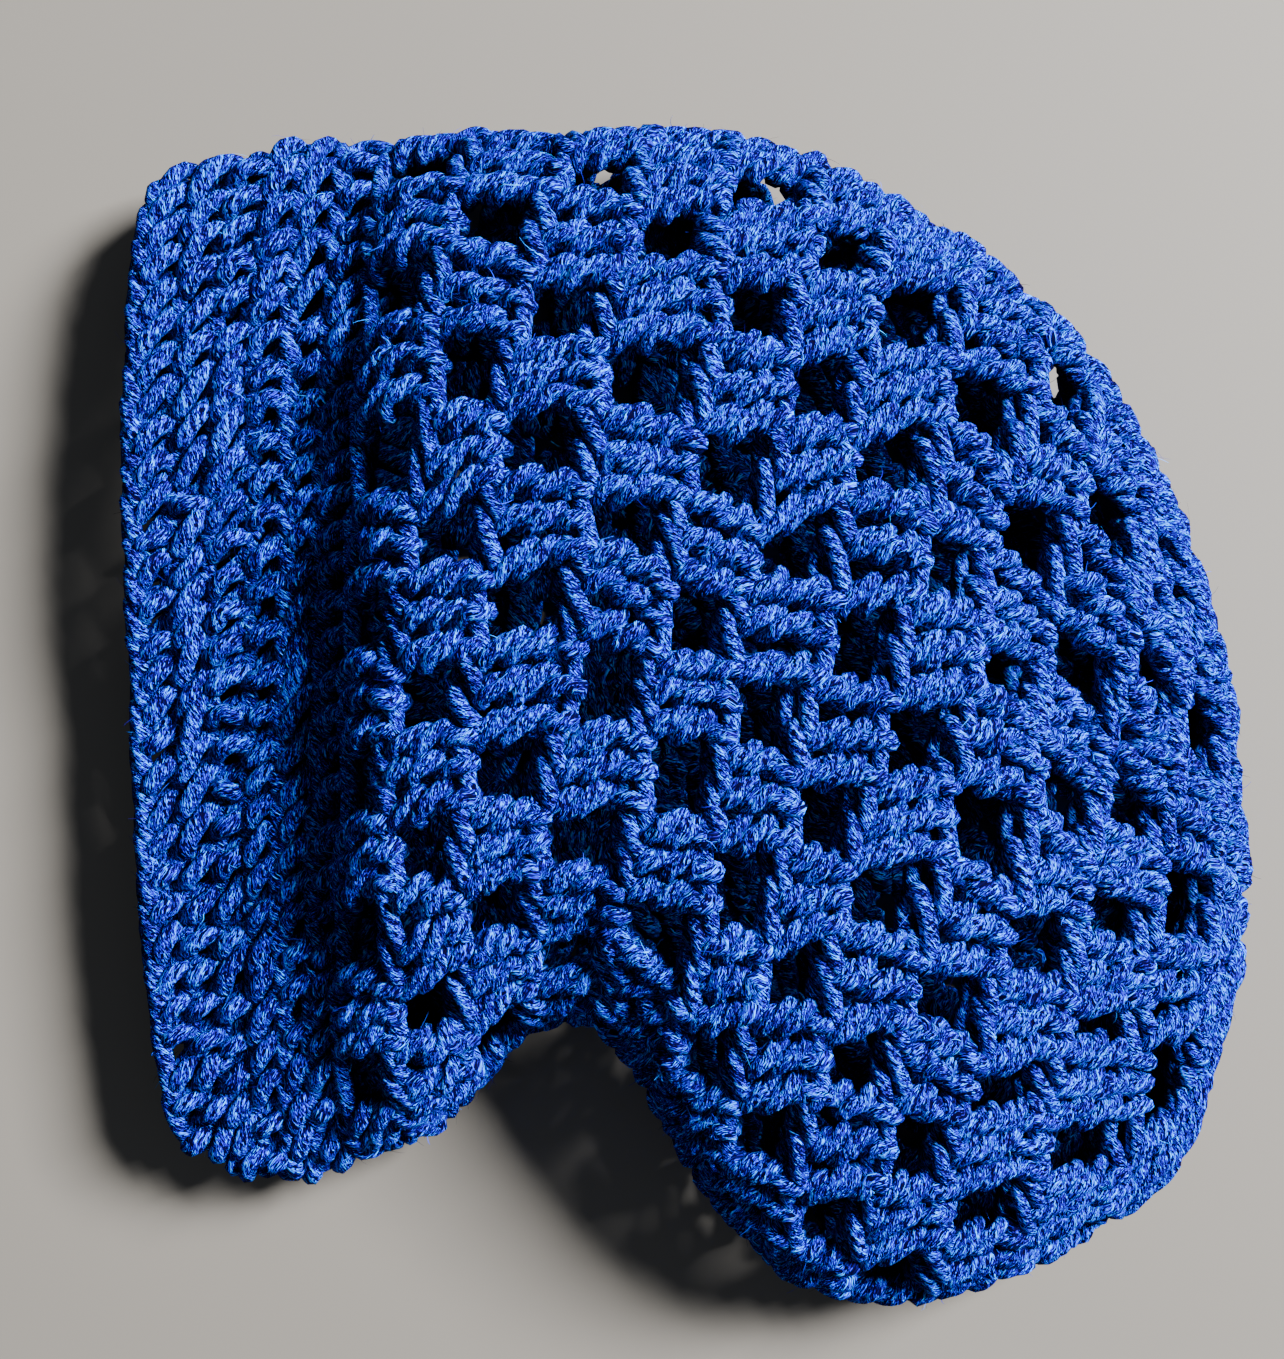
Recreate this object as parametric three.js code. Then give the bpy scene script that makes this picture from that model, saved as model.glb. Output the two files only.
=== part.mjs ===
// A slouchy crochet beanie, lying flat: a close-stitched brim band and an openwork crown.
// Millimetres, +Z up. The opening of the hat faces -X and its crown centre lies at +X.
// Both walls follow one surface: rings run from the opening to the crown centre.
import * as THREE from 'three';

const WALL = 5.0;
// The joint between band and crown is left open by this share of a round.
const JOINT_SHARE = 0.16;

// Rings are numbered by crochet rounds. The opening is -6, the joint is 0, the crown centre is 14.
const OPENING = -6;
const BRIM_ROUNDS = 6;
const CROWN_ROUNDS = 13;

// Where the hat lies on the floor: this point of the sections below is the part's origin.
const MIDDLE_X = 12.4;
const MIDDLE_Y = -8.5;

// The section of the hat at a ring: its two turned edges, and how far its layers lean and rise.
// leanUp and leanLow are along X at mid width, from the straight line between the two edges.
// turn says how far the stitches have crept round from the far edge, in clusters.
const SECTIONS = [
  // ring, farX, farY, farZ, nearX, nearY, nearZ, leanUp, crestZ, leanLow, turn
  [-6.0, -109.0, 113.5, 15.0, -103.0, -105.0, 15.0, -8.5, 24.5, -1.0, 0.0],
  [-3.0, -85.5, 120.2, 14.0, -86.0, -113.0, 14.0, -5.8, 24.0, 2.5, 0.0],
  [0.0, -63.1, 121.4, 12.0, -70.6, -109.9, 12.0, -0.4, 30.0, 12.9, -0.08],
  [1.0, -43.5, 122.2, 13.0, -56.1, -104.3, 12.0, -8.0, 46.5, 13.2, 0.0],
  [2.0, -23.5, 122.5, 14.0, -43.0, -97.0, 14.0, -9.0, 54.5, 12.2, 0.17],
  [3.0, -4.0, 122.4, 15.0, -31.0, -81.0, 19.0, -6.5, 57.0, 12.4, 0.4],
  [4.0, 13.5, 121.9, 15.0, -13.0, -74.0, 23.0, -3.9, 58.0, 11.7, 0.52],
  [5.0, 32.0, 118.2, 15.0, 2.0, -87.0, 21.0, -3.4, 58.0, 12.2, 0.35],
  [6.0, 49.4, 111.3, 15.0, 12.5, -108.0, 18.0, -3.4, 57.0, 12.8, -0.03],
  [8.0, 82.6, 90.8, 15.0, 37.9, -135.5, 14.0, -3.7, 54.0, 11.2, -0.65],
  [10.0, 110.7, 59.2, 14.0, 75.1, -137.3, 14.0, -4.6, 44.0, 9.6, -0.78],
  [12.0, 130.9, 9.2, 14.0, 118.4, -114.3, 13.0, -3.5, 29.0, 6.7, -0.6],
  [13.0, 136.1, -23.4, 13.0, 132.4, -81.7, 13.0, -2.0, 21.0, 5.1, -0.5],
  [14.0, 138.3, -52.7, 12.0, 138.3, -52.7, 12.0, 0.0, 12.0, 0.0, -0.5],
];

// The upper layer is a puffed arch: lower powers make it squarer.
const ARCH_WIDTH_POWER = 0.8;
const ARCH_HEIGHT_POWER = 0.85;
const ARCH_STEPS = 64;
const CORNER_STEPS = 10;
const FLAT_STEPS = 44;
const CORNER_SHARE = 0.45;

// Folds of the upper layer: straight valleys, each from one point to another.
const VALLEYS = [
  // fromX, fromY, toX, toY, depth, width
  [79.0, 28.0, 95.0, -9.0, 9.0, 11.0],
  [-72.0, 60.0, -68.0, -60.0, 2.0, 7.0],
  [-45.0, -70.0, -18.0, -58.0, 7.0, 13.0],
  [-116.0, 5.0, -108.0, -80.0, 3.0, 20.0],
];
const VALLEY_FADE = 14.0;

// The crown's net: clusters of stitches with a gap between each two, half a cluster on from round
// to round.
const CLUSTERS = 14;
const CLUSTERS_AT_CENTRE = 7;
const FIRST_CENTRE_ROUND = 12;
const COLUMNS_PER_CLUSTER = 6;
const COLUMNS = CLUSTERS * COLUMNS_PER_CLUSTER;
const GAP_COLUMNS = 2;
const GAP_HALF_HEIGHT = 0.33;
// The last ring, which a fan closes: its skins bulge by these lengths at the crown centre.
const CAP_RING = 13.72;
const OUTER_TIP = 1.5;
const INNER_TIP = 1.0;
// No gap is cut in the layer that lies on the floor, between these shares of the way round.
const UNDERSIDE_FROM = 0.6;
const UNDERSIDE_TO = 0.94;
const BRIM_COLUMNS = 40;
const RIB_HEIGHT = 0.6;

// The slope of the surface at a ring is measured this far before and after it, in rounds.
const SLOPE_REACH = 0.05;

const YARN_BLUE = 0x1c3fa8;

// A curve through a column of the table: cubic pieces that keep the slope at every row.
function throughTable(rows, column, ring) {
  const value = (i) => rows[i][column];
  const slope = (i) => {
    const before = Math.max(i - 1, 0);
    const after = Math.min(i + 1, rows.length - 1);
    return (value(after) - value(before)) / (rows[after][0] - rows[before][0]);
  };
  let i = 0;
  while (i < rows.length - 2 && ring > rows[i + 1][0]) i += 1;
  const step = rows[i + 1][0] - rows[i][0];
  const t = (ring - rows[i][0]) / step;
  const a = 2 * t ** 3 - 3 * t ** 2 + 1;
  const b = t ** 3 - 2 * t ** 2 + t;
  const c = t ** 3 - t ** 2;
  return a * value(i) + b * step * slope(i) + (1 - a) * value(i + 1) + c * step * slope(i + 1);
}

// How deep the folds press the upper layer down at a point.
function foldDepth(x, y) {
  let depth = 0;
  for (const [fromX, fromY, toX, toY, deep, width] of VALLEYS) {
    const length = Math.hypot(toX - fromX, toY - fromY);
    const alongX = (toX - fromX) / length;
    const alongY = (toY - fromY) / length;
    const along = (x - fromX) * alongX + (y - fromY) * alongY;
    const across = (y - fromY) * alongX - (x - fromX) * alongY;
    const past = Math.max(0, -along, along - length);
    depth += deep * Math.exp(-((across / width) ** 2) - (past / VALLEY_FADE) ** 2);
  }
  return depth;
}

// The closed section at a ring, as points from the far edge over the top and back underneath.
function sectionPoints(ring) {
  const [farX, farY, farZ, nearX, nearY, nearZ, leanUp, crestZ, leanLow] =
    [1, 2, 3, 4, 5, 6, 7, 8, 9].map((column) => throughTable(SECTIONS, column, ring));
  const floorZ = WALL / 2;
  const points = [];
  for (let i = 0; i < ARCH_STEPS; i += 1) {
    const angle = Math.PI * i / ARCH_STEPS;
    const side = Math.cos(angle);
    const share = 0.5 + 0.5 * Math.sign(side) * Math.abs(side) ** ARCH_WIDTH_POWER;
    const rise = Math.sin(angle) ** ARCH_HEIGHT_POWER;
    const edgeZ = nearZ + (farZ - nearZ) * share;
    const x = nearX + (farX - nearX) * share + leanUp * rise;
    const y = nearY + (farY - nearY) * share;
    const z = edgeZ + (crestZ - edgeZ) * rise - foldDepth(x, y) * rise;
    points.push(new THREE.Vector3(x, y, z));
  }
  const width = Math.hypot(farX - nearX, farY - nearY) + 1e-9;
  const under = (share, z) => {
    const lean = leanLow * Math.sin(Math.PI * share) ** 2;
    const x = nearX + (farX - nearX) * share + lean;
    points.push(new THREE.Vector3(x, nearY + (farY - nearY) * share, z));
  };
  const nearCorner = Math.min((nearZ - floorZ) / width, CORNER_SHARE);
  const farCorner = Math.min((farZ - floorZ) / width, CORNER_SHARE);
  for (let i = 0; i < CORNER_STEPS; i += 1) {
    const angle = Math.PI / 2 * i / CORNER_STEPS;
    under(nearCorner * (1 - Math.cos(angle)), nearZ - (nearZ - floorZ) * Math.sin(angle));
  }
  for (let i = 0; i < FLAT_STEPS; i += 1) {
    under(nearCorner + (1 - farCorner - nearCorner) * i / FLAT_STEPS, floorZ);
  }
  for (let i = 0; i < CORNER_STEPS; i += 1) {
    const angle = Math.PI / 2 * i / CORNER_STEPS;
    under(1 - farCorner * (1 - Math.sin(angle)), farZ - (farZ - floorZ) * Math.cos(angle));
  }
  points.push(points[0].clone());
  return points;
}

// A ring of the wall's middle surface, spaced evenly along the section's length.
function evenRing(ring, columns) {
  const points = sectionPoints(ring);
  const lengths = [0];
  for (let i = 1; i < points.length; i += 1) {
    lengths.push(lengths[i - 1] + points[i].distanceTo(points[i - 1]));
  }
  const total = lengths[lengths.length - 1];
  const turn = throughTable(SECTIONS, 10, ring) / CLUSTERS;
  const even = [];
  for (let column = 0; column < columns; column += 1) {
    const share = (column / columns + turn + 1) % 1;
    const wanted = total * share;
    const i = lengths.findIndex((length) => length > wanted) - 1;
    const part = (wanted - lengths[i]) / (lengths[i + 1] - lengths[i]);
    const point = points[i].clone().lerp(points[i + 1], part);
    even.push(point.sub(new THREE.Vector3(MIDDLE_X, MIDDLE_Y, 0)));
  }
  return even;
}

// Outer and inner points of a ring, half a wall away from the middle surface.
function wallRing(ring, columns, relief) {
  const here = evenRing(ring, columns);
  const before = evenRing(Math.max(ring - SLOPE_REACH, OPENING), columns);
  const after = evenRing(Math.min(ring + SLOPE_REACH, CAP_RING), columns);
  return here.map((point, column) => {
    const next = here[(column + 1) % columns];
    const last = here[(column + columns - 1) % columns];
    const along = after[column].clone().sub(before[column]);
    const normal = next.clone().sub(last).cross(along).normalize().negate();
    const outer = point.clone().addScaledVector(normal, WALL / 2 + relief);
    const inner = point.clone().addScaledVector(normal, -WALL / 2);
    outer.z = Math.max(outer.z, 0);
    return { outer, inner };
  });
}

// Collects triangles, and turns them into a closed mesh with flat faces.
class Shell {
  constructor() {
    this.corners = [];
  }

  quad(a, b, c, d) {
    this.corners.push(a, b, c, a, c, d);
  }

  triangle(a, b, c) {
    this.corners.push(a, b, c);
  }

  mesh(name) {
    const geometry = new THREE.BufferGeometry().setFromPoints(this.corners);
    geometry.computeVertexNormals();
    const material = new THREE.MeshStandardMaterial({ color: YARN_BLUE, roughness: 0.9 });
    material.name = 'blue_yarn';
    const mesh = new THREE.Mesh(geometry, material);
    mesh.name = name;
    return mesh;
  }
}

// Lays both skins of a wall between its rings, and side walls where a skin stops.
function layWall(shell, rings, isGap) {
  const columns = rings[0].length;
  const solid = (row, column) => {
    if (row < 0 || row >= rings.length - 1) return false;
    return !isGap(row, (column + columns) % columns);
  };
  for (let row = 0; row < rings.length - 1; row += 1) {
    for (let column = 0; column < columns; column += 1) {
      if (!solid(row, column)) continue;
      const next = (column + 1) % columns;
      const [a, b] = [rings[row][column], rings[row][next]];
      const [d, c] = [rings[row + 1][column], rings[row + 1][next]];
      shell.quad(a.outer, d.outer, c.outer, b.outer);
      shell.quad(a.inner, b.inner, c.inner, d.inner);
      if (!solid(row, column - 1)) shell.quad(a.outer, a.inner, d.inner, d.outer);
      if (!solid(row, column + 1)) shell.quad(b.outer, c.outer, c.inner, b.inner);
      if (!solid(row - 1, column)) shell.quad(a.outer, b.outer, b.inner, a.inner);
      const openTop = row === rings.length - 2 ? isGap(row + 1, column) : !solid(row + 1, column);
      if (openTop) shell.quad(d.outer, d.inner, c.inner, c.outer);
    }
  }
}

function brimBand() {
  const rings = [];
  for (let half = 0; half <= 2 * BRIM_ROUNDS; half += 1) {
    const ring = Math.min(OPENING + half / 2, -JOINT_SHARE);
    rings.push(wallRing(ring, BRIM_COLUMNS, half % 2 === 1 ? RIB_HEIGHT : -RIB_HEIGHT));
  }
  const shell = new Shell();
  layWall(shell, rings, (row) => row >= rings.length - 1);
  return shell.mesh('brim_band');
}

// The columns of one round that are cut through.
function gapColumns(round) {
  const cut = new Set();
  const count = round < FIRST_CENTRE_ROUND ? CLUSTERS : CLUSTERS_AT_CENTRE;
  const pitch = COLUMNS / count;
  const wide = GAP_COLUMNS * CLUSTERS / count;
  for (let gap = 0; gap < count; gap += 1) {
    const middle = (gap + (round % 2) / 2) * pitch;
    const turn = throughTable(SECTIONS, 10, round) / CLUSTERS;
    const share = (middle / COLUMNS + turn + 1) % 1;
    if (share > UNDERSIDE_FROM && share < UNDERSIDE_TO) continue;
    const first = Math.round(middle - wide / 2);
    for (let i = 0; i < wide; i += 1) cut.add((first + i + COLUMNS) % COLUMNS);
  }
  return cut;
}

function crown() {
  const ringNumbers = [0];
  for (let round = 1; round <= CROWN_ROUNDS; round += 1) {
    ringNumbers.push(round - GAP_HALF_HEIGHT, round + GAP_HALF_HEIGHT);
  }
  ringNumbers.push(CAP_RING);
  const rings = ringNumbers.map((ring) => wallRing(ring, COLUMNS, 0));
  const cuts = new Map();
  for (let round = 1; round <= CROWN_ROUNDS; round += 1) cuts.set(2 * round - 1, gapColumns(round));
  const shell = new Shell();
  layWall(shell, rings, (row, column) => cuts.has(row) && cuts.get(row).has(column));

  const end = rings[rings.length - 1];
  const middle = (side) => end.reduce((sum, point) => sum.add(point[side]), new THREE.Vector3())
    .divideScalar(COLUMNS);
  const outerTip = middle('outer').add(new THREE.Vector3(OUTER_TIP, 0, 0));
  const innerTip = middle('inner').add(new THREE.Vector3(INNER_TIP, 0, 0));
  for (let column = 0; column < COLUMNS; column += 1) {
    const next = (column + 1) % COLUMNS;
    shell.triangle(end[column].outer, outerTip, end[next].outer);
    shell.triangle(end[column].inner, end[next].inner, innerTip);
  }
  return shell.mesh('crown');
}

const beanie = new THREE.Group();
beanie.name = 'beanie';
beanie.add(brimBand(), crown());

export default beanie;
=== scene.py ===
# %% [markdown]
# # A slouchy crochet beanie, worked stitch by stitch
# The hat lies flat on a floor: a close-stitched band at the left, where the opening is, and an
# openwork crown that slumps to the lower right. Every stitch is laid as real yarn on one curved
# surface, so the gaps of the net are real gaps.
# The lesson goes from the frame to the surface, then to the yarn, the stitches, the finish of the
# yarn, and at last the floor, the light and the camera. The scene is in metres. Sizes in millimetres
# are multiplied by MM.

import bpy
import mathutils
import numpy as np
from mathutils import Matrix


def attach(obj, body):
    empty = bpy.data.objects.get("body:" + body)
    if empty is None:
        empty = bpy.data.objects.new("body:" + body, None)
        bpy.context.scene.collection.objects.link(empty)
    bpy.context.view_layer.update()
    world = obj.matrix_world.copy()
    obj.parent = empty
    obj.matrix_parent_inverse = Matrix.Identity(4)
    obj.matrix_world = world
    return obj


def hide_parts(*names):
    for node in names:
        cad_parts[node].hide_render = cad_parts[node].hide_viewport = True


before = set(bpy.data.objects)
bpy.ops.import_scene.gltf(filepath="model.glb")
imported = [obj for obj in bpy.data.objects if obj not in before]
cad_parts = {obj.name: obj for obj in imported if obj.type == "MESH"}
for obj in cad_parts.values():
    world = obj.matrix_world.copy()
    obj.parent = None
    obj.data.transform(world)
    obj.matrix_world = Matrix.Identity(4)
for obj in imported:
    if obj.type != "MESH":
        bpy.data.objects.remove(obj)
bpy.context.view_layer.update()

MM = 0.001
TINY = 1e-12
random = np.random.default_rng(7)

YARN_RADIUS = 2.05 * MM
CHAIN_RADIUS = 2.05 * MM
WRAP_RADIUS = 1.8 * MM
SLANT_RADIUS = 2.2 * MM

OPENING_RING = -6.0
CLUSTERS = 14
CLUSTERS_AT_CENTRE = 7
FIRST_CENTRE_ROUND = 12
CROWN_ROUNDS = 13
BRIM_ROUNDS = 6
BRIM_STITCHES = 60

# %% [markdown]
# ## The surface of the hat
# The wall follows sections, one for each ring of the hat. A ring is numbered by its crochet round:
# the opening is -6, the join of band and crown is 0, and the crown centre is 14.
# A section has two turned edges, an arched upper layer, and a lower layer that lies on the floor.
# Such a shape could be sculpted, or dropped as cloth. A table of sections is chosen instead, because
# every stitch then has an exact place on the wall, and the table is the same one that the solids
# were made from, so the yarn lies where they are.

# %% The table of sections, in millimetres
MIDDLE = np.array([12.4, -8.5, 0.0])
TURN_COLUMN = 10
SECTIONS = np.array([
    # ring, farX, farY, farZ, nearX, nearY, nearZ, leanUp, crestZ, leanLow, turn
    [-6.0, -109.0, 113.5, 15.0, -103.0, -105.0, 15.0, -8.5, 24.5, -1.0, 0.0],
    [-3.0, -85.5, 120.2, 14.0, -86.0, -113.0, 14.0, -5.8, 24.0, 2.5, 0.0],
    [0.0, -63.1, 121.4, 12.0, -70.6, -109.9, 12.0, -0.4, 30.0, 12.9, -0.08],
    [1.0, -43.5, 122.2, 13.0, -56.1, -104.3, 12.0, -8.0, 46.5, 13.2, 0.0],
    [2.0, -23.5, 122.5, 14.0, -43.0, -97.0, 14.0, -9.0, 54.5, 12.2, 0.17],
    [3.0, -4.0, 122.4, 15.0, -31.0, -81.0, 19.0, -6.5, 57.0, 12.4, 0.4],
    [4.0, 13.5, 121.9, 15.0, -13.0, -74.0, 23.0, -3.9, 58.0, 11.7, 0.52],
    [5.0, 32.0, 118.2, 15.0, 2.0, -87.0, 21.0, -3.4, 58.0, 12.2, 0.35],
    [6.0, 49.4, 111.3, 15.0, 12.5, -108.0, 18.0, -3.4, 57.0, 12.8, -0.03],
    [8.0, 82.6, 90.8, 15.0, 37.9, -135.5, 14.0, -3.7, 54.0, 11.2, -0.65],
    [10.0, 110.7, 59.2, 14.0, 75.1, -137.3, 14.0, -4.6, 44.0, 9.6, -0.78],
    [12.0, 130.9, 9.2, 14.0, 118.4, -114.3, 13.0, -3.5, 29.0, 6.7, -0.6],
    [13.0, 136.1, -23.4, 13.0, 132.4, -81.7, 13.0, -2.0, 21.0, 5.1, -0.5],
    [14.0, 138.3, -52.7, 12.0, 138.3, -52.7, 12.0, 0.0, 12.0, 0.0, -0.5],
])


def through_table(rings, column):
    """A smooth curve through one column of the table, at an array of rings.

    Between two rows it is the cubic that has, at each row, the slope between the rows beside it.
    """
    row_ring = SECTIONS[:, 0]
    value = SECTIONS[:, column]
    before = np.maximum(np.arange(len(row_ring)) - 1, 0)
    after = np.minimum(np.arange(len(row_ring)) + 1, len(row_ring) - 1)
    slope = (value[after] - value[before]) / (row_ring[after] - row_ring[before])
    i = np.clip(np.searchsorted(row_ring, rings, side="right") - 1, 0, len(row_ring) - 2)
    step = row_ring[i + 1] - row_ring[i]
    t = (rings - row_ring[i]) / step
    first = 2 * t**3 - 3 * t**2 + 1
    rise = (t**3 - 2 * t**2 + t) * step * slope[i] + (t**3 - t**2) * step * slope[i + 1]
    return first * value[i] + (1 - first) * value[i + 1] + rise


# %% Folds in the upper layer, in millimetres
VALLEYS = [
    # fromX, fromY, toX, toY, depth, width
    [79.0, 28.0, 95.0, -9.0, 9.0, 11.0],
    [-72.0, 60.0, -68.0, -60.0, 2.0, 7.0],
    [-45.0, -70.0, -18.0, -58.0, 7.0, 13.0],
    [-116.0, 5.0, -108.0, -80.0, 3.0, 20.0],
]
VALLEY_FADE = 14.0


def fold_depth(x, y):
    """How far the folds press the upper layer down.

    Each fold is a straight valley: its depth falls off as a bell curve across it and past its ends.
    """
    depth = np.zeros_like(x)
    for from_x, from_y, to_x, to_y, deep, width in VALLEYS:
        length = np.hypot(to_x - from_x, to_y - from_y)
        along_x = (to_x - from_x) / length
        along_y = (to_y - from_y) / length
        along = (x - from_x) * along_x + (y - from_y) * along_y
        across = (y - from_y) * along_x - (x - from_x) * along_y
        past = np.maximum(0, np.maximum(-along, along - length))
        depth += deep * np.exp(-(across / width) ** 2 - (past / VALLEY_FADE) ** 2)
    return depth


# %% Closed sections
ARCH_WIDTH_POWER = 0.8
ARCH_HEIGHT_POWER = 0.85
CORNER_SHARE = 0.45
LOWER_LAYER_Z = 4.4
ARCH_STEPS = 96
CORNER_STEPS = 14
FLAT_STEPS = 60


def section_points(rings):
    """Closed sections at an array of rings, from the far edge over the top and back underneath.

    The arch is a superellipse: its width goes with a power of the cosine, its height with a power
    of the sine. Underneath, a quarter of an ellipse turns each edge down to a flat layer.
    """
    columns = [through_table(rings, k)[:, None] for k in range(1, TURN_COLUMN)]
    far_x, far_y, far_z, near_x, near_y, near_z, lean_up, crest_z, lean_low = columns
    angle = np.pi * np.arange(ARCH_STEPS) / ARCH_STEPS
    side = np.cos(angle)
    share = 0.5 + 0.5 * np.sign(side) * np.abs(side) ** ARCH_WIDTH_POWER
    rise = np.sin(angle) ** ARCH_HEIGHT_POWER
    edge_z = near_z + (far_z - near_z) * share
    x = near_x + (far_x - near_x) * share + lean_up * rise
    y = near_y + (far_y - near_y) * share
    z = edge_z + (crest_z - edge_z) * rise - fold_depth(x, y) * rise
    upper = np.stack([x, y, z], axis=2)

    width = np.hypot(far_x - near_x, far_y - near_y) + TINY
    near_corner = np.minimum((near_z - LOWER_LAYER_Z) / width, CORNER_SHARE)
    far_corner = np.minimum((far_z - LOWER_LAYER_Z) / width, CORNER_SHARE)
    turn = np.pi / 2 * np.arange(CORNER_STEPS) / CORNER_STEPS
    flat = np.arange(FLAT_STEPS) / FLAT_STEPS
    share = np.concatenate([
        near_corner * (1 - np.cos(turn)),
        near_corner + (1 - far_corner - near_corner) * flat,
        1 - far_corner * (1 - np.sin(turn)),
    ], axis=1)
    z = np.concatenate([
        near_z - (near_z - LOWER_LAYER_Z) * np.sin(turn),
        np.full((len(rings), FLAT_STEPS), LOWER_LAYER_Z),
        far_z - (far_z - LOWER_LAYER_Z) * np.cos(turn),
    ], axis=1)
    x = near_x + (far_x - near_x) * share + lean_low * np.sin(np.pi * share) ** 2
    y = near_y + (far_y - near_y) * share
    lower = np.stack([x, y, z], axis=2)
    points = np.concatenate([upper, lower, upper[:, :1]], axis=1)
    return (points - MIDDLE) * MM


# %% The surface as an even grid
RING_STEP = 0.05
FIRST_RING = OPENING_RING - 0.5
LAST_RING = 13.9
GRID_COLUMNS = 840


def even_grid():
    """The surface as a grid: rings by evenly spaced columns, with its normals.

    Every ring is walked at even steps along its own length, from the far edge plus its turn. A
    normal is the cross product of the step round the ring and the step to the next ring.
    """
    rings = np.arange(FIRST_RING, LAST_RING + RING_STEP / 2, RING_STEP)
    points = section_points(rings)
    steps = np.linalg.norm(np.diff(points, axis=1), axis=2)
    lengths = np.concatenate([np.zeros((len(rings), 1)), np.cumsum(steps, axis=1)], axis=1)
    turns = through_table(rings, TURN_COLUMN) / CLUSTERS
    grid = np.empty((len(rings), GRID_COLUMNS, 3))
    for row in range(len(rings)):
        wanted = ((np.arange(GRID_COLUMNS) / GRID_COLUMNS + turns[row]) % 1) * lengths[row, -1]
        for axis in range(3):
            grid[row, :, axis] = np.interp(wanted, lengths[row], points[row, :, axis])
    around = np.roll(grid, -1, axis=1) - np.roll(grid, 1, axis=1)
    normals = np.cross(around, np.gradient(grid, axis=0))
    normals /= np.linalg.norm(normals, axis=2, keepdims=True) + TINY
    return grid, normals, lengths[:, -1]


GRID, NORMALS, RING_LENGTHS = even_grid()
OUTWARD = -1.0 if NORMALS[len(NORMALS) // 2, GRID_COLUMNS // 4, 2] < 0 else 1.0
NORMALS *= OUTWARD


def ring_length(ring):
    """The length of a ring, in metres, between the lengths of the grid's two nearest rings."""
    return np.interp(ring, FIRST_RING + RING_STEP * np.arange(len(RING_LENGTHS)), RING_LENGTHS)


print("the surface has", len(GRID), "rings; the opening is", round(float(ring_length(OPENING_RING)), 3),
      "m round")

# %% Places on the surface
DRIFT = [
    # size round the hat (share of a ring), size along it (rounds), waves round, waves per ring, start
    (0.0032, 0.055, 3, 0.31, 0.10),
    (0.0024, 0.045, 5, -0.23, 0.45),
    (0.0016, 0.035, 9, 0.47, 0.80),
]
DRIFT_FADE = 2.0
JUST_SHORT = 0.001


def drifted(around, ring):
    """Shifts places by a sum of slow waves, so that no round is quite even.

    Each wave goes round the hat a whole number of times, and turns on from ring to ring. The shift
    fades out at the opening and at the crown centre.
    """
    fade = (np.clip((ring - OPENING_RING) / DRIFT_FADE, 0, 1)
            * np.clip((LAST_RING - ring) / DRIFT_FADE, 0, 1))
    side = np.zeros_like(ring)
    up = np.zeros_like(ring)
    for side_size, up_size, waves, waves_per_ring, start in DRIFT:
        angle = 2 * np.pi * (waves * around + waves_per_ring * ring + start)
        side += side_size * np.sin(angle)
        up += up_size * np.cos(angle)
    return around + side * fade, ring + up * fade


def on_surface(around, ring, height):
    """Points at shares of the way round, at rings, and at heights along the outward normal.

    The grid's four corners around each place are blended by how near they are. A place stays just
    short of the grid's last row, because the blend also reads the row after it.
    """
    around, ring = drifted(around, ring)
    u = (around % 1.0) * GRID_COLUMNS
    v = np.clip((ring - FIRST_RING) / RING_STEP, 0, len(GRID) - 1 - JUST_SHORT)
    i = v.astype(int)
    j = u.astype(int) % GRID_COLUMNS
    k = (j + 1) % GRID_COLUMNS
    fv = (v - i)[..., None]
    fu = (u - np.floor(u))[..., None]
    point = ((1 - fv) * ((1 - fu) * GRID[i, j] + fu * GRID[i, k])
             + fv * ((1 - fu) * GRID[i + 1, j] + fu * GRID[i + 1, k]))
    normal = ((1 - fv) * ((1 - fu) * NORMALS[i, j] + fu * NORMALS[i, k])
              + fv * ((1 - fu) * NORMALS[i + 1, j] + fu * NORMALS[i + 1, k]))
    normal /= np.linalg.norm(normal, axis=-1, keepdims=True)
    return point + normal * height[..., None], normal


# %% [markdown]
# ## Yarn
# A strand is a tube along a smooth path through a few given points. Curves with a round bevel
# could make such tubes too. Arrays are chosen, because all strands of one kind are then laid at once,
# and each point can keep how deep it lies in the wall.
# The tube's own coordinates, once round and so far along, are kept as a map, because the plies and
# the fibres of the yarn follow them.

# %% Smooth paths


def smooth_path(points, count):
    """A path of count points through control points, for many strands at once.

    points has the shape (strands, controls, values). Between two controls the path is the cubic
    that keeps the slope at both, so that it has no corner.
    """
    last = points.shape[1] - 1
    place = np.linspace(0, last, count)
    i = np.minimum(place.astype(int), last - 1)
    t = (place - i)[None, :, None]
    before = points[:, np.maximum(i - 1, 0)]
    here = points[:, i]
    after = points[:, i + 1]
    beyond = points[:, np.minimum(i + 2, last)]
    slope_here = (after - before) / 2
    slope_after = (beyond - here) / 2
    return ((2 * t**3 - 3 * t**2 + 1) * here + (t**3 - 2 * t**2 + t) * slope_here
            + (3 * t**2 - 2 * t**3) * after + (t**3 - t**2) * slope_after)


# %% The cross-section of a tube
UPRIGHT = 0.9


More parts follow.
